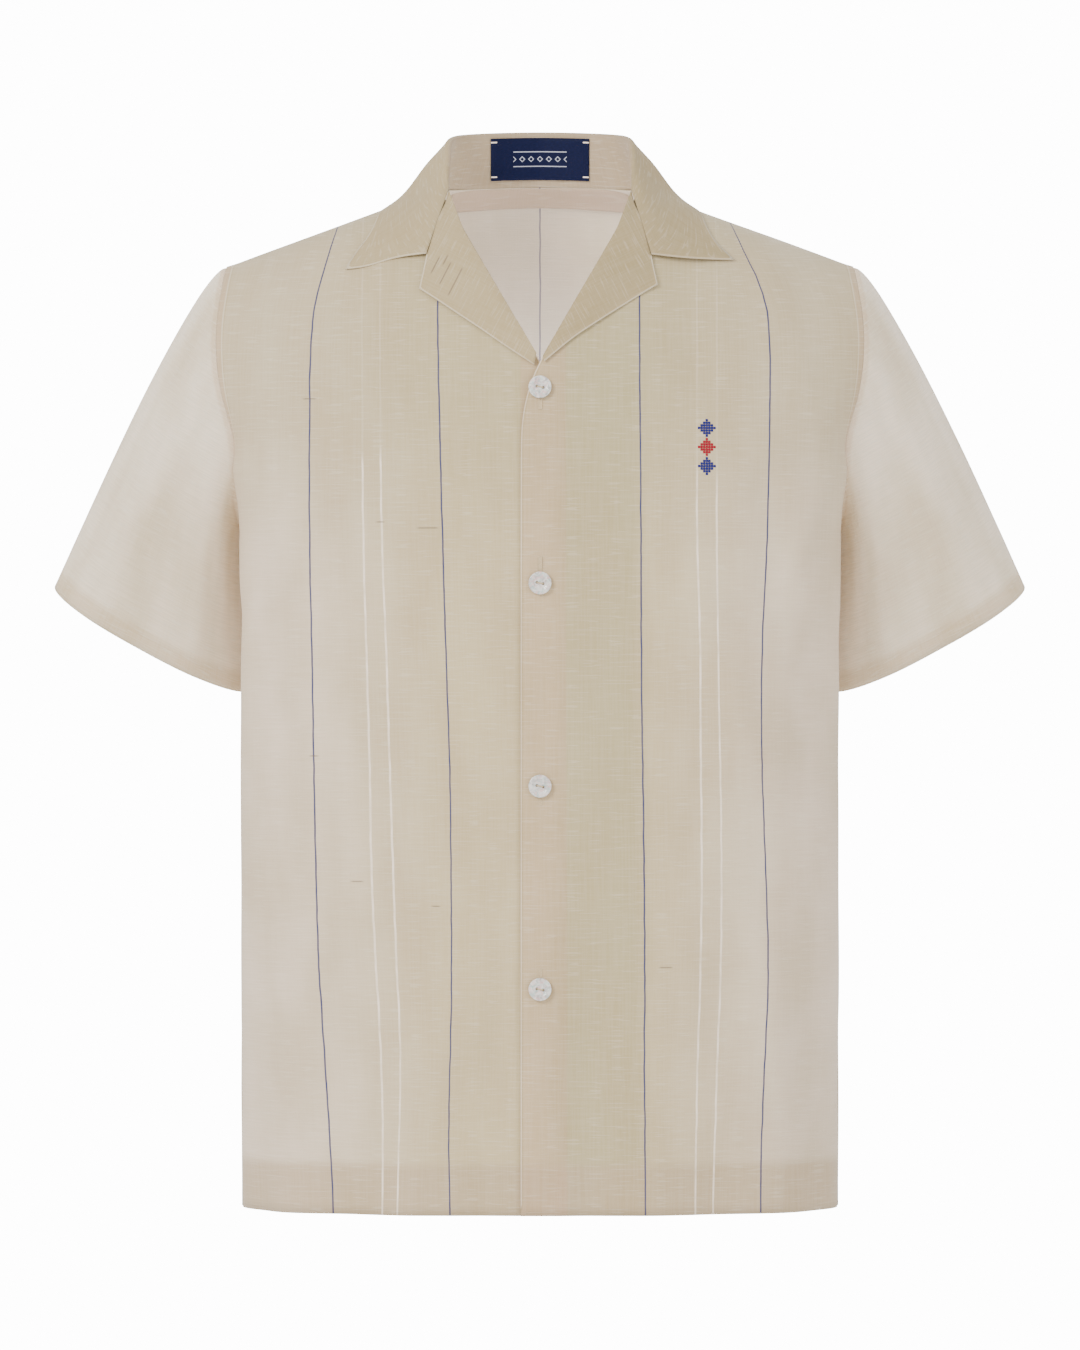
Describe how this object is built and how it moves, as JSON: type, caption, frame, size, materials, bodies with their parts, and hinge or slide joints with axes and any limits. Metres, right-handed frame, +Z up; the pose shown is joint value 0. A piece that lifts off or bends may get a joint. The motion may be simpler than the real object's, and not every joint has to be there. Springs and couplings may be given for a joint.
{
  "type": "short-sleeved barong tagalog shirt",
  "caption": "Hollow short-sleeved shirt with a camp collar, turned lapels, button front and hemmed cuffs, filled out with no wearer.",
  "frame": {"origin": "midway between the inner ends of the two shoulder seams, where the wearer's shoulders hold the shirt up", "axes": "+Z up, -Y towards the shirt's front, +X towards the wearer's left"},
  "size_m": [0.6498, 0.2332, 0.7185],
  "materials": {
    "cloth": "sheer plain weave of cream silk with slubs and a soft sheen",
    "label": "navy woven satin tape",
    "pearl": "polished mother of pearl"
  },
  "bodies": {
    "root": {"front_left": "cloth", "front_right": "cloth", "back": "cloth", "sleeve_left": "cloth", "sleeve_right": "cloth", "collar": "cloth", "lapel_left": "cloth", "lapel_right": "cloth", "back_neck_band": "cloth", "label": "label", "button_1": "pearl", "button_2": "pearl", "button_3": "pearl", "button_4": "pearl"}
  },
  "joints": []
}
